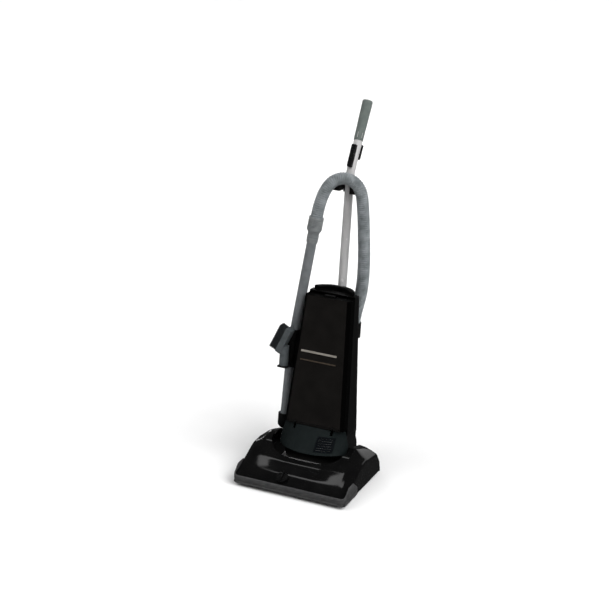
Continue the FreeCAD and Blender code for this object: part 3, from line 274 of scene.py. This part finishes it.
# Each finish: its two tones, the range of its roughness, how fine its clouding is, and the
# strength and fineness of its grain. The rest is given where it differs from plain plastic.
FINISHES = {
    "gloss_black": dict(
        dark=(0.0015, 0.0015, 0.0016), light=(0.003, 0.003, 0.003), roughness=(0.07, 0.11),
        scale=30, bump=0.02, grain=1400, specular=0.42),
    "housing_black": dict(
        dark=(0.001, 0.001, 0.001), light=(0.002, 0.002, 0.002), roughness=(0.38, 0.5), scale=30,
        bump=0.12, grain=1200, specular=0.25, edge=0.0012),
    "door_black": dict(
        dark=(0.0062, 0.0057, 0.0053), light=(0.0088, 0.0080, 0.0074), roughness=(0.5, 0.62),
        scale=25, bump=0.15, grain=1500, specular=0.03, edge=0.0012),
    "black_plastic": dict(
        dark=(0.003, 0.003, 0.0032), light=(0.006, 0.006, 0.006), roughness=(0.4, 0.55), scale=60,
        bump=0.2, grain=1500, specular=0.15, edge=0.0008),
    "black_steel": dict(
        dark=(0.004, 0.004, 0.004), light=(0.009, 0.009, 0.009), roughness=(0.35, 0.45), scale=80,
        bump=0.1, grain=900, metallic=0.3, specular=0.2),
    "cover_grey": dict(
        dark=(0.0065, 0.009, 0.0092), light=(0.009, 0.0118, 0.012), roughness=(0.4, 0.52), scale=40,
        bump=0.15, grain=1500, specular=0.08, edge=0.001),
    "cover_dark": dict(
        dark=(0.0015, 0.0025, 0.0035), light=(0.003, 0.004, 0.005), roughness=(0.5, 0.6), scale=60,
        bump=0.2, grain=1500, specular=0.25, edge=0.0006),
    "bumper_rubber": dict(
        dark=(0.036, 0.036, 0.037), light=(0.056, 0.056, 0.056), roughness=(0.5, 0.7), scale=70,
        bump=0.3, grain=900, specular=0.3),
    "belt_rubber": dict(
        dark=(0.010, 0.010, 0.010), light=(0.02, 0.02, 0.02), roughness=(0.7, 0.85), scale=90,
        bump=0.4, grain=1200, specular=0.2, edge=0.0004),
    "mount_rubber": dict(
        dark=(0.012, 0.012, 0.012), light=(0.022, 0.022, 0.022), roughness=(0.7, 0.85), scale=90,
        bump=0.3, grain=1200, specular=0.25, edge=0.0006),
    "wheel_rubber": dict(
        dark=(0.015, 0.015, 0.015), light=(0.03, 0.03, 0.03), roughness=(0.6, 0.8), scale=80,
        bump=0.3, grain=1000, specular=0.3, edge=0.0015),
    "grip_rubber": dict(
        dark=(0.10, 0.118, 0.11), light=(0.135, 0.155, 0.145), roughness=(0.6, 0.75), scale=60,
        bump=0.35, grain=1300, specular=0.3),
    "steel": dict(
        dark=(0.42, 0.42, 0.43), light=(0.58, 0.58, 0.59), roughness=(0.28, 0.42), scale=120,
        bump=0.15, grain=900, metallic=1.0, stretch=(1, 8, 8), edge=0.0004),
    "chrome": dict(
        dark=(0.62, 0.61, 0.61), light=(0.76, 0.75, 0.75), roughness=(0.2, 0.28), scale=60,
        bump=0.03, grain=700, metallic=0.35, stretch=(1, 1, 0.2)),
    "brass": dict(
        dark=(0.42, 0.30, 0.11), light=(0.58, 0.44, 0.18), roughness=(0.3, 0.45), scale=120,
        bump=0.15, grain=900, metallic=1.0, edge=0.0004),
    "motor_metal": dict(
        dark=(0.38, 0.38, 0.40), light=(0.52, 0.52, 0.54), roughness=(0.35, 0.5), scale=80,
        bump=0.2, grain=700, metallic=1.0, edge=0.0008),
    "roll_wood": dict(
        dark=(0.30, 0.18, 0.09), light=(0.48, 0.31, 0.17), roughness=(0.45, 0.6), scale=30,
        bump=0.35, grain=200, stretch=(0.15, 2, 2), specular=0.35, edge=0.0006),
    "bristle": dict(
        dark=(0.010, 0.012, 0.014), light=(0.028, 0.031, 0.034), roughness=(0.45, 0.6), scale=300,
        bump=0.1, grain=900, specular=0.4),
    "bearing_plastic": dict(
        dark=(0.6, 0.6, 0.57), light=(0.72, 0.72, 0.69), roughness=(0.4, 0.5), scale=60, bump=0.1,
        grain=900, edge=0.0004),
    "knob_plastic": dict(
        dark=(0.0015, 0.0015, 0.0016), light=(0.003, 0.003, 0.003), roughness=(0.2, 0.3), scale=60,
        bump=0.1, grain=900, specular=0.3, edge=0.0012),
    "filter_foam": dict(
        dark=(0.16, 0.17, 0.17), light=(0.34, 0.35, 0.35), roughness=(0.9, 1.0), scale=500,
        bump=0.8, grain=900, specular=0.1),
    "bag_paper": dict(
        dark=(0.50, 0.38, 0.24), light=(0.62, 0.50, 0.34), roughness=(0.8, 0.9), scale=90, bump=0.4,
        grain=260, specular=0.15),
    "bag_card": dict(
        dark=(0.38, 0.29, 0.18), light=(0.50, 0.40, 0.27), roughness=(0.8, 0.9), scale=120,
        bump=0.3, grain=500, specular=0.15, edge=0.0004),
    "hose_grey": dict(
        dark=(0.12, 0.135, 0.14), light=(0.24, 0.26, 0.27), roughness=(0.35, 0.5), scale=45,
        bump=0.2, grain=900, specular=0.5),
    "cuff_grey": dict(
        dark=(0.13, 0.14, 0.145), light=(0.19, 0.20, 0.20), roughness=(0.4, 0.5), scale=60,
        bump=0.15, grain=1200, specular=0.35),
    "wand_grey": dict(
        dark=(0.12, 0.13, 0.137), light=(0.165, 0.175, 0.182), roughness=(0.35, 0.48), scale=50,
        bump=0.1, grain=1200, specular=0.4),
    "brush_grey": dict(
        dark=(0.055, 0.063, 0.067), light=(0.085, 0.095, 0.10), roughness=(0.45, 0.6), scale=60,
        bump=0.2, grain=1200, specular=0.35, edge=0.0015),
    "badge_pale": dict(
        dark=(0.24, 0.22, 0.19), light=(0.31, 0.29, 0.26), roughness=(0.35, 0.45), scale=60,
        bump=0.05, grain=900, metallic=0.2),
    "badge_dim": dict(
        dark=(0.055, 0.042, 0.030), light=(0.075, 0.058, 0.042), roughness=(0.4, 0.5), scale=60,
        bump=0.05, grain=900, metallic=0.3),
}


def make_finishes():
    """Every finish, by its name."""
    made = {name: plastic(name, **look) for name, look in FINISHES.items()}
    # The door's sides get painted shade, a near-black colour darker than its front.
    paint_side_shade(made["door_black"], (0.0008, 0.0008, 0.0008))
    return made


def coat_cad_nodes(finishes):
    """Give every carried-over CAD node the finish of its slot."""
    special = {"rear_housing": "housing_black"}
    for part in frame["record"]["subparts"]:
        shown = frame["nodes"][part["node"]]
        finish = finishes[special.get(part["node"], part["material_slot"])]
        for slot in shown.material_slots:
            slot.material = finish


# ---------------------------------------------------------------- mesh helpers

def bare(name, vertices, faces):
    """A mesh object without a finish: a piece in the making, or a cutter."""
    mesh = bpy.data.meshes.new(name)
    mesh.from_pydata([tuple(v) for v in vertices], [], faces)
    mesh.update()
    made = bpy.data.objects.new(name, mesh)
    bpy.context.collection.objects.link(made)
    return made


def face_outward(mesh, open_skin=False):
    """Turn the faces outward. On an open skin, the highest face tells which way that is."""
    work = bmesh.new()
    work.from_mesh(mesh)
    bmesh.ops.recalc_face_normals(work, faces=work.faces)
    if open_skin:
        top = max(work.faces, key=lambda face: face.calc_center_median().z)
        if top.normal.z < 0:
            bmesh.ops.reverse_faces(work, faces=work.faces)
    work.to_mesh(mesh)
    work.free()


def dress(made, finish, body, replaces=(), sharp=35):
    """Finish a piece, let it ride on a body, and let it stand for CAD nodes."""
    mesh = made.data
    mesh.materials.clear()
    mesh.materials.append(finish)
    mesh.shade_smooth()
    if sharp:
        mesh.set_sharp_from_angle(angle=math.radians(sharp))
    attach(made, body)
    if replaces:
        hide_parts(*replaces)
    return made


def piece(name, vertices, faces, finish, body, replaces=(), sharp=35):
    """A new, finished mesh piece."""
    made = bare(name, vertices, faces)
    face_outward(made.data)
    return dress(made, finish, body, replaces, sharp)


def transformed(matrix, points):
    """Points given in millimetres in a local frame, in world metres."""
    array = np.asarray(points, dtype=float) * 0.001
    turn = np.array(matrix.to_3x3())
    return array @ turn.T + np.array(matrix.translation)


def grid_faces(rows, columns, close_rows=False, close_columns=False):
    """Quads over a grid of rows x columns vertices."""
    faces = []
    for i in range(rows if close_rows else rows - 1):
        for j in range(columns if close_columns else columns - 1):
            a, b = i * columns + j, i * columns + (j + 1) % columns
            c, d = ((i + 1) % rows) * columns + (j + 1) % columns, ((i + 1) % rows) * columns + j
            faces.append((a, b, c, d))
    return faces


def rings(sections):
    """Vertices and faces of a capped skin over closed sections of the same number of points."""
    count = len(sections[0])
    vertices = [point for section in sections for point in section]
    faces = grid_faces(len(sections), count, close_columns=True)
    faces.append(tuple(range(count))[::-1])
    faces.append(tuple(range((len(sections) - 1) * count, len(sections) * count)))
    return vertices, faces


def hollow_rings(sections):
    """Vertices and faces of sections that close on themselves, such as a turned sleeve."""
    vertices = [point for section in sections for point in section]
    return vertices, grid_faces(len(sections), len(sections[0]), close_rows=True,
                                close_columns=True)


def turned(profile, steps=64):
    """A profile of (radius, height) turned about z, as one ring for each of its points."""
    angles = [2 * math.pi * k / steps for k in range(steps)]
    return [[(r * math.cos(a), r * math.sin(a), z) for a in angles] for r, z in profile]


def resampled(points, spacing):
    """Points at an even spacing along a path, and how far along it each lies."""
    points = np.array(points)
    lengths = np.linalg.norm(np.diff(points, axis=0), axis=1)
    along = np.concatenate([[0], np.cumsum(lengths)])
    count = max(2, int(round(along[-1] / spacing)) + 1)
    wanted = np.linspace(0, along[-1], count)
    return np.stack([np.interp(wanted, along, points[:, k]) for k in range(3)], axis=1), wanted


def tube_sections(points, radii, sides):
    """Rings round a path, turned as little as possible from one to the next."""
    tangents = np.gradient(points, axis=0)
    tangents /= np.linalg.norm(tangents, axis=1)[:, None]
    normal = np.cross(tangents[0], (0, 0, 1.0))
    if np.linalg.norm(normal) < 0.1:
        normal = np.cross(tangents[0], (1.0, 0, 0))
    angles = np.linspace(0, 2 * math.pi, sides, endpoint=False)
    sections = []
    for place, tangent, radius in zip(points, tangents, radii):
        normal = normal - tangent * normal.dot(tangent)
        normal /= np.linalg.norm(normal)
        side = np.cross(tangent, normal)
        sections.append(place + radius * (np.outer(np.cos(angles), normal)
                                          + np.outer(np.sin(angles), side)))
    return sections


def applied(made):
    """Bake the object's modifiers into its mesh."""
    graph = bpy.context.evaluated_depsgraph_get()
    mesh = bpy.data.meshes.new_from_object(made.evaluated_get(graph))
    made.modifiers.clear()
    made.data = mesh


def carve(made, cutters):
    """Cut closed meshes out of a piece, and remove them."""
    for cutter in cutters:
        face_outward(cutter.data)
        cutting = made.modifiers.new("carve", "BOOLEAN")
        cutting.operation = "DIFFERENCE"
        cutting.solver = "EXACT"
        cutting.object = cutter
    applied(made)
    for cutter in cutters:
        bpy.data.objects.remove(cutter)


def prism(name, matrix, outline, low, high):
    """A cutter: an outline of (x, y) between two heights of a local frame."""
    return bare(name, *rings([transformed(matrix, [(x, y, z) for x, y in outline])
                              for z in (low, high)]))


def block(name, matrix, low, high):
    """A cutter: a box between two corners of a local frame."""
    (x0, y0, z0), (x1, y1, z1) = low, high
    return prism(name, matrix, ((x0, y0), (x1, y0), (x1, y1), (x0, y1)), z0, z1)


def rod(name, matrix, radius, low, high, steps):
    """A cutter: a round rod along a local frame's z."""
    return bare(name, *rings([transformed(matrix, ring) for ring in turned(
        ((radius, low), (radius, high)), steps)]))


def soften(node, width):
    """Round a carried-over CAD node's edges with modifiers, leaving its mesh alone."""
    shown = frame["nodes"][node]
    weld = shown.modifiers.new("weld", "WELD")
    weld.merge_threshold = 0.00002
    bevel = shown.modifiers.new("round", "BEVEL")
    bevel.width = width
    bevel.segments = 3
    bevel.limit_method = "ANGLE"
    bevel.angle_limit = math.radians(30)
    bevel.use_clamp_overlap = True
    normals = shown.modifiers.new("normals", "WEIGHTED_NORMAL")
    normals.keep_sharp = False


# ---------------------------------------------------------------- hose and its cuff

def hose_line():
    """Points along the spline that has the route's points as its control points."""
    curve = bpy.data.curves.new("hose_route", "CURVE")
    curve.dimensions = "3D"
    curve.resolution_u = 24
    spline = curve.splines.new("NURBS")
    spline.points.add(len(HOSE_ROUTE) - 1)
    for target, spot in zip(spline.points, HOSE_ROUTE):
        target.co = (*(UPRIGHT @ Vector(spot)), 1)
    spline.order_u = 3
    spline.use_endpoint_u = True
    line = bpy.data.objects.new("hose_route", curve)
    bpy.context.collection.objects.link(line)
    graph = bpy.context.evaluated_depsgraph_get()
    drawn = bpy.data.meshes.new_from_object(line.evaluated_get(graph))
    points = [vertex.co[:] for vertex in drawn.vertices]
    bpy.data.objects.remove(line)
    return points


def add_hose(finishes):
    """The ribbed hose: a mesh tube along the route's own spline."""
    path, along = resampled(hose_line(), HOSE_STEP)
    crest = 0.5 + 0.5 * np.cos(2 * math.pi * along / RIB_PITCH)
    radii = HOSE_VALLEY + HOSE_RIB * crest ** 0.7
    vertices, faces = rings(tube_sections(path, radii, HOSE_SIDES))
    hose = piece("hose_ribbed", vertices, faces, finishes["hose_grey"], "upright",
                 ["hose"], sharp=0)


def add_cuff(finishes):
    """The cuff that joins the hose to the wand, with finger rings and a neck."""
    mouth = Vector(HOSE_ROUTE[0])
    wand_foot = Vector((-0.120, 0.008, 0.280))
    turn = (wand_foot - mouth).to_track_quat("Z", "Y").to_matrix().to_4x4()
    place = UPRIGHT @ Matrix.Translation(mouth) @ turn
    sleeve, groove, neck, bead = 22, 20.9, 16.6, 17.4
    profile = [(14.5, 0), (20.4, 0), (21.6, 0.8), (sleeve, 2.2)]
    for start in (6, 12, 18, 24):
        profile += [(sleeve, start), (groove, start + 0.8), (groove, start + 2.2),
                    (sleeve, start + 3)]
    profile += [(sleeve, 35), (21.8, 38), (20.6, 41), (18.2, 45), (16.9, 48), (neck, 50)]
    for start in (56, 64):
        profile += [(neck, start), (bead, start + 1), (bead, start + 3), (neck, start + 4)]
    profile += [(neck, 76), (16.2, 77.6), (14.6, 78)]
    vertices, faces = hollow_rings([transformed(place, ring) for ring in turned(profile)])
    piece("hose_cuff_turned", vertices, faces, finishes["cuff_grey"], "upright",
          ["hose_cuff"])


# ---------------------------------------------------------------- hood, bumper and knob

def softened_grid(corners, spacing, sigma):
    """Resample a grid of points finely both ways, then smooth it while its rim stays put."""
    grid = np.array(corners, dtype=float)
    for axis in (0, 1):
        grid = np.moveaxis(grid, axis, 0)
        steps = np.linalg.norm(np.diff(grid, axis=0), axis=2).max(axis=1)
        along = np.concatenate([[0], np.cumsum(np.maximum(steps, 0.5))])
        wanted = np.linspace(0, along[-1], int(along[-1] / spacing) + 1)
        low = np.clip(np.searchsorted(along, wanted, side="right") - 1, 0, len(along) - 2)
        share = (wanted - along[low]) / (along[low + 1] - along[low])
        grid = grid[low] * (1 - share[:, None, None]) + grid[low + 1] * share[:, None, None]
        grid = np.moveaxis(grid, 0, axis)
    reach = int(3 * sigma / spacing)
    weights = np.exp(-0.5 * (np.arange(-reach, reach + 1) * spacing / sigma) ** 2)
    weights /= weights.sum()
    for axis in (0, 1):
        grid = np.moveaxis(grid, axis, 0)
        # Mirroring each end through its rim point keeps the rim where it is.
        before = 2 * grid[:1] - grid[reach:0:-1]
        after = 2 * grid[-1:] - grid[-2:-reach - 2:-1]
        padded = np.concatenate([before, grid, after])
        grid = sum(weight * padded[k:k + len(grid)] for k, weight in enumerate(weights))
        grid = np.moveaxis(grid, 0, axis)
    return grid


def hood_rows():
    """The hood's skin as rows of points from its left floor edge over the top to its right one."""
    backs = (LIP_BACK, LIP_BACK, *PROFILE_BACK, HOOD_BACK)
    left = [(-across, heights) for across, heights in HOOD_STATIONS]
    rows = [[(across, back, height)
             for back, height in zip(backs, (HOOD_LOW, LIP_HEIGHT, *heights, HOOD_LOW))]
            for across, heights in (*left, *reversed(HOOD_STATIONS))]
    edges = [[(side * HOOD_SIDE, back, HOOD_LOW) for back in backs] for side in (-1, 1)]
    return [edges[0], *rows, edges[1]]


def hood_cutters():
    """The throat for the body, and the gaps for wheels, wheel hubs, pedal and knob."""
    throat = [(-x, y) for x, y in reversed(THROAT_HALF)] + [THROAT_FRONT, *THROAT_HALF]
    cutters = [prism("throat", BASE, throat, THROAT_LOW, THROAT_HIGH)]
    for side in (-1, 1):
        low, high = sorted((side * 138, side * 166))
        cutters.append(block("wheel_slot", BASE, (low, 238, 0), (high, 270, 68)))
        hub = BASE @ Matrix.Translation((side * 0.1275 - 0.0055, 0.222, 0.070))
        cutters.append(rod("hub_notch", hub @ Matrix.Rotation(math.pi / 2, 4, "Y"), 24, 0, 11, 40))
    cutters.append(block("pedal_slot", BASE, (-167, 221, 60), (-141, 262, 77)))
    cutters.append(rod("knob_hole", KNOB, 4.5, -12, 12, 24))
    return cutters


def add_hood(finishes):
    """The glossy hood: one smooth skin, hollow below, with a throat for the body."""
    grid = softened_grid(hood_rows(), HOOD_STEP, HOOD_ROUNDING)
    hood = bare("hood_smooth", transformed(BASE, grid.reshape(-1, 3)),
                grid_faces(*grid.shape[:2]))
    face_outward(hood.data, open_skin=True)
    shell = hood.modifiers.new("shell", "SOLIDIFY")
    shell.thickness = HOOD_WALL * 0.001
    shell.offset = -1
    applied(hood)
    carve(hood, hood_cutters())
    dress(hood, finishes["gloss_black"], "nozzle", ["hood"], sharp=40)


def bumper_path():
    """The bumper's outer line from back left to back right, as (x, y) and the way it faces."""
    radius = BUMPER_CORNER
    inner = BUMPER_SIDE - radius
    left = [(-BUMPER_SIDE, y, -1, 0) for y in np.linspace(BUMPER_BACK, radius, 30)]
    left += [(-inner - radius * math.cos(a), radius - radius * math.sin(a),
              -math.cos(a), -math.sin(a)) for a in np.linspace(0, math.pi / 2, 10)[1:]]
    front = [(x, 0, 0, -1) for x in np.linspace(-inner, inner, 90)[1:-1]]
    return left + front + [(-x, y, -nx, ny) for x, y, nx, ny in reversed(left)]


def add_bumper(finishes):
    """The soft strip: rounded at the corners, and raised into a cheek at each side."""
    backs, tops = zip(*BUMPER_TOP)
    sections = []
    for x, y, nx, ny in bumper_path():
        top = np.interp(y, backs, tops)
        if abs(x) < BUMPER_SIDE - BUMPER_CORNER:
            wall = BUMPER_FRONT_WALL
        else:
            extra = BUMPER_FRONT_WALL - BUMPER_SIDE_WALL
            wall = BUMPER_SIDE_WALL + extra * (1 - min(1, y / BUMPER_CORNER))
        shape = [(0.9, 10), (0, 11.2), (0, 16.5), (1.1, 17.6), (1.1, 18.8), (0, 19.9),
                 (0, top - 4), (0.35, top - 2), (1.3, top - 0.6), (min(2.6, wall - 0.4), top),
                 (wall, top - 0.3), (wall, 10)]
        sections.append(transformed(BASE, [(x - nx * inset, y - ny * inset, z)
                                           for inset, z in shape]))
    vertices, faces = rings(sections)
    piece("bumper_strip", vertices, faces, finishes["bumper_rubber"], "nozzle",
          ["front_bumper"], sharp=50)


def fluted(radius, height, steps=96):
    """A ring of the knob. Its rim is fluted above its lower edge."""
    depth = FLUTE_DEPTH if radius > FLUTE_FROM and height > 0.5 else 0
    ring = []
    for k in range(steps):
        a = 2 * math.pi * k / steps
        out = radius - depth * (0.5 + 0.5 * math.cos(KNOB_FLUTES * a))
        ring.append((out * math.cos(a), out * math.sin(a), height))
    return ring


def add_knob(finishes):
    """The height knob: a fluted disc with a raised bar."""
    vertices, faces = rings([transformed(KNOB, fluted(*spot)) for spot in KNOB_PROFILE])
    piece("knob_disc", vertices, faces, finishes["knob_plastic"], "knob",
          ["height_knob"], sharp=30)
    half_width, half_length, steps = 3.2, 14.6, 24
    bar = []
    for z, trim in ((6.5, 0), (10.6, 0), (11.6, 0.5), (12, 1.4)):
        ring = []
        for k in range(steps):
            a = 2 * math.pi * k / steps
            ring.append(((half_width - trim) * math.cos(a),
                         (half_length - trim) * math.copysign(1, math.sin(a)) + 3 * math.sin(a),
                         z))
        bar.append(transformed(KNOB, ring))
    vertices, faces = rings(bar)
    piece("knob_bar", vertices, faces, finishes["knob_plastic"], "knob", sharp=35)


# ---------------------------------------------------------------- brushes

def strands(roots, tips, width):
    """Thin three-sided spikes from each root to its tip."""
    vertices, faces = [], []
    for root, tip in zip(roots, tips):
        root, tip = Vector(root), Vector(tip)
        along = (tip - root).normalized()
        side = along.orthogonal().normalized() * width
        other = along.cross(side)
        start = len(vertices)
        for end, taper in ((root, 1.0), (tip, 0.6)):
            for turn in range(3):
                a = 2 * math.pi * turn / 3
                vertices.append(end + (side * math.cos(a) + other * math.sin(a)) * taper)
        for turn in range(3):
            follow = (turn + 1) % 3
            faces.append((start + turn, start + follow, start + 3 + follow, start + 3 + turn))
        faces.append((start + 3, start + 4, start + 5))
    return vertices, faces


def add_roll_bristles(finishes):
    """Two spiral rows of tufts round the brush roll, in BASE."""
    axis_back, axis_high, core = 60, 27, 16.6
    left, length, tufts, strands_each = -144, 268, 90, 16
    dice = random.Random(SEED)
    roots, tips = [], []
    for row in range(2):
        for k in range(tufts):
            share = k / (tufts - 1)
            x = left + length * share
            angle = math.pi * row + 1.5 * math.pi * share
            for _ in range(strands_each):
                a = angle + dice.uniform(-0.09, 0.09)
                shift = x + dice.uniform(-1.1, 1.1)
                lean = dice.uniform(-0.05, 0.05)
                reach = dice.uniform(24.0, 25.0)
                roots.append((shift, axis_back - core * math.sin(a),
                              axis_high + core * math.cos(a)))
                tips.append((shift + dice.uniform(-0.9, 0.9),
                             axis_back - reach * math.sin(a + lean),
                             axis_high + reach * math.cos(a + lean)))
    vertices, faces = strands(transformed(BASE, roots), transformed(BASE, tips), 0.00022)
    piece("roll_bristles", vertices, faces, finishes["bristle"], "brush",
          ["brush_bristles"], sharp=0)


def add_tool_bristles(finishes):
    """The dusting brush's oblong tuft, packed and slightly splayed."""
    place = (UPRIGHT @ Matrix.Translation((-0.128, -0.026, 0.308))
             @ Matrix.Rotation(math.radians(24), 4, "Y"))
    half_width, half_length, pitch, root_depth = 12, 37, 2.0, -8.5
    dice = random.Random(SEED + 1)
    roots, tips = [], []
    for y in np.arange(-half_width, half_width + 0.1, pitch):
        for z in np.arange(-half_length, half_length + 0.1, pitch):
            for _ in range(4):
                dy, dz = dice.uniform(-0.9, 0.9), dice.uniform(-0.9, 0.9)
                roots.append((root_depth, y + dy, z + dz))
                splay = dice.uniform(0.98, 1.05)
                tips.append((-dice.uniform(29.5, 32), (y + dy) * splay, (z + dz) * splay))
    vertices, faces = strands(transformed(place, roots), transformed(place, tips), 0.0005)
    piece("tool_bristles", vertices, faces, finishes["bristle"], "brush_tool",
          ["brush_tuft"], sharp=0)


# ---------------------------------------------------------------- grip, bag and filters

def add_grip(finishes):
    """The rubber grip: soft rings, a domed end, and slots at its lower end."""
    start, length, bore = 99, 122, 12.75
    profile = [(bore, start + 0.2), (13.2, start), (13.8, start + 0.8)]
    for k in range(56):
        height = 4 + k * 2.0
        swell = 13.7 + 1.5 * height / length
        ridge = 0.25 if k % 2 and 20 < k < 52 else 0
        profile.append((swell + ridge, start + height))
    profile += [(15.2, start + 116), (14.9, start + 119), (13.2, start + 121.4),
                (9, start + length), (0.4, start + length), (0.4, start + 116),
                (bore, start + 116)]
    vertices, faces = hollow_rings([transformed(HANDLE, ring) for ring in turned(profile, 72)])
    grip = bare("grip_turned", vertices, faces)
    carve(grip, [block("slot", HANDLE @ Matrix.Rotation(math.radians(turn), 4, "Z"),
                       (-1.3, -30, start + 7), (1.3, 30, start + 24)) for turn in (0, 60, 120)])
    dress(grip, finishes["grip_rubber"], "upright", ["grip"], sharp=45)


def add_bag(finishes):
    """The paper bag: puffed between its seams, and narrower at its top."""
    steps, levels = 96, 70
    low, height, rear = 96, 273, 43.5
    sections = []
    for k in range(levels):
        share = k / (levels - 1)
        half = 69.5 + (51.5 - 69.5) * share
        front = -17.5 + (8 + 17.5) * share
        middle, deep = (rear + front) / 2, (rear - front) / 2
        puff = math.sin(math.pi * share) ** 0.5
        square = 0.35 + 0.2 * (1 - puff)
        crease = 1 - 0.01 * max(0, math.sin(26 * share * math.pi)) ** 4
        ring = []
        for j in range(steps):
            a = 2 * math.pi * j / steps
            c, s = math.cos(a), math.sin(a)
            pinch = 1 - 0.05 * (1 - puff) - 0.012 * (0.5 + 0.5 * math.sin(9 * a + 14 * share))
            ring.append((half * math.copysign(abs(c) ** square, c) * pinch * crease,
                         middle + deep * math.copysign(abs(s) ** square, s) * pinch * crease,
                         low + height * share))
        sections.append(transformed(UPRIGHT, ring))
    vertices, faces = rings(sections)
    piece("bag_paper_shell", vertices, faces, finishes["bag_paper"], "upright",
          ["dust_bag"], sharp=60)


def add_motor_filter(finishes):
    """The flat filter under the bag, pleated across."""
    half, front, rear, low, high = 67.8, -21.8, 37.8, 77.2, 86.8
    pleats, depth = 22, 4
    steps = pleats * 8
    top, bottom = [], []
    for k in range(steps + 1):
        x = -half + 2 * half * k / steps
        wave = depth * (0.5 - 0.5 * math.cos(2 * math.pi * pleats * k / steps))
        top.append((x, high - wave))
        bottom.append((x, low + depth - wave))
    outline = top + bottom[::-1]
    vertices, faces = rings([transformed(UPRIGHT, [(x, y, z) for x, z in outline])
                             for y in (front, rear)])
    piece("motor_filter_pleats", vertices, faces, finishes["filter_foam"],
          "upright", ["motor_filter"], sharp=60)


def add_exhaust_filter(finishes):
    """The filter behind the louvres. It follows the skirt's arc, which narrows upward."""
    left, right, pleats = 25.4, 74.6, 10
    flat_front, inset = 48, 3.4
    sections = []
    for z in np.linspace(16.5, 53.5, 12):
        fall = (z - 8) / 66.5
        side, depth = 114 - 17 * fall - inset, 118 - 50 * fall - inset - flat_front
        radius = (side ** 2 + depth ** 2) / (2 * depth)
        near, far = [], []
        for x in np.linspace(left, right, pleats * 8 + 1):
            skin = -(flat_front + depth - radius + math.sqrt(radius ** 2 - x ** 2))
            wave = 1.5 - 1.5 * math.cos(2 * math.pi * pleats * (x - left) / (right - left))
            near.append((x, skin + wave, z))
            far.append((x, skin + wave + 3.6, z))
        sections.append(transformed(UPRIGHT, near + far[::-1]))
    vertices, faces = rings(sections)
    piece("exhaust_filter_pleats", vertices, faces, finishes["filter_foam"],
          "upright", ["exhaust_filter"], sharp=60)


def add_pedal_spring(finishes):
    """A coil on the pedal's pin, in BASE."""
    turns, steps, radius, wire = 4.5, 180, 3.9, 0.0006
    left, length, back, high = -156.5, 6, 224, 68
    path = []
    for k in range(steps):
        share = k / (steps - 1)
        a = 2 * math.pi * turns * share
        path.append((left + length * share, back + radius * math.cos(a),
                     high + radius * math.sin(a)))
    path = transformed(BASE, path)
    vertices, faces = rings(tube_sections(path, np.full(steps, wire), 8))
    piece("pedal_coil", vertices, faces, finishes["steel"], "nozzle", ["pedal_spring"],
          sharp=0)


def panel_front(height):
    """How far back the front panel's face lies at a height, in UPRIGHT."""
    (foot, low), (top, high) = PANEL_FOOT, PANEL_TOP
    return foot + (top - foot) * (height - low) / (high - low) - PANEL_GAP - PANEL_DEPTH


def add_badges(finishes):
    """Two plain raised bars on the front panel, without any mark."""
    left, right = -64, 50
    for name, low, high, finish in (("badge_bar", 291, 297, "badge_pale"),
                                    ("badge_line", 266, 270, "badge_dim")):
        sections = []
        for out, trim in ((-0.3, 0), (0.5, 0), (0.8, 0.4)):
            corners = ((left + trim, low + trim), (right - trim, low + trim),
                       (right - trim, high - trim), (left + trim, high - trim))
            sections.append(transformed(UPRIGHT, [(x, panel_front(z) - out, z)
                                                  for x, z in corners]))
        vertices, faces = rings(sections)
        piece(name, vertices, faces, finishes[finish], "door", sharp=30)


# ---------------------------------------------------------------- the scene

def main():
    finishes = make_finishes()
    add_camera()
    add_hose(finishes)
    add_cuff(finishes)
    add_floor()
    add_backdrop()
    light_scene()
    coat_cad_nodes(finishes)
    add_hood(finishes)
    add_bumper(finishes)
    add_knob(finishes)
    add_roll_bristles(finishes)
    add_tool_bristles(finishes)
    add_grip(finishes)
    add_bag(finishes)
    add_motor_filter(finishes)
    add_exhaust_filter(finishes)
    add_pedal_spring(finishes)
    add_badges(finishes)
    for node, width in (("bag_door", 0.003), ("rear_housing", 0.002), ("carry_handle", 0.003),
                        ("dusting_brush", 0.0025), ("tool_caddy", 0.002), ("motor_cover", 0.0015)):
        soften(node, width)
    bpy.context.scene.view_settings.view_transform = "Standard"


main()
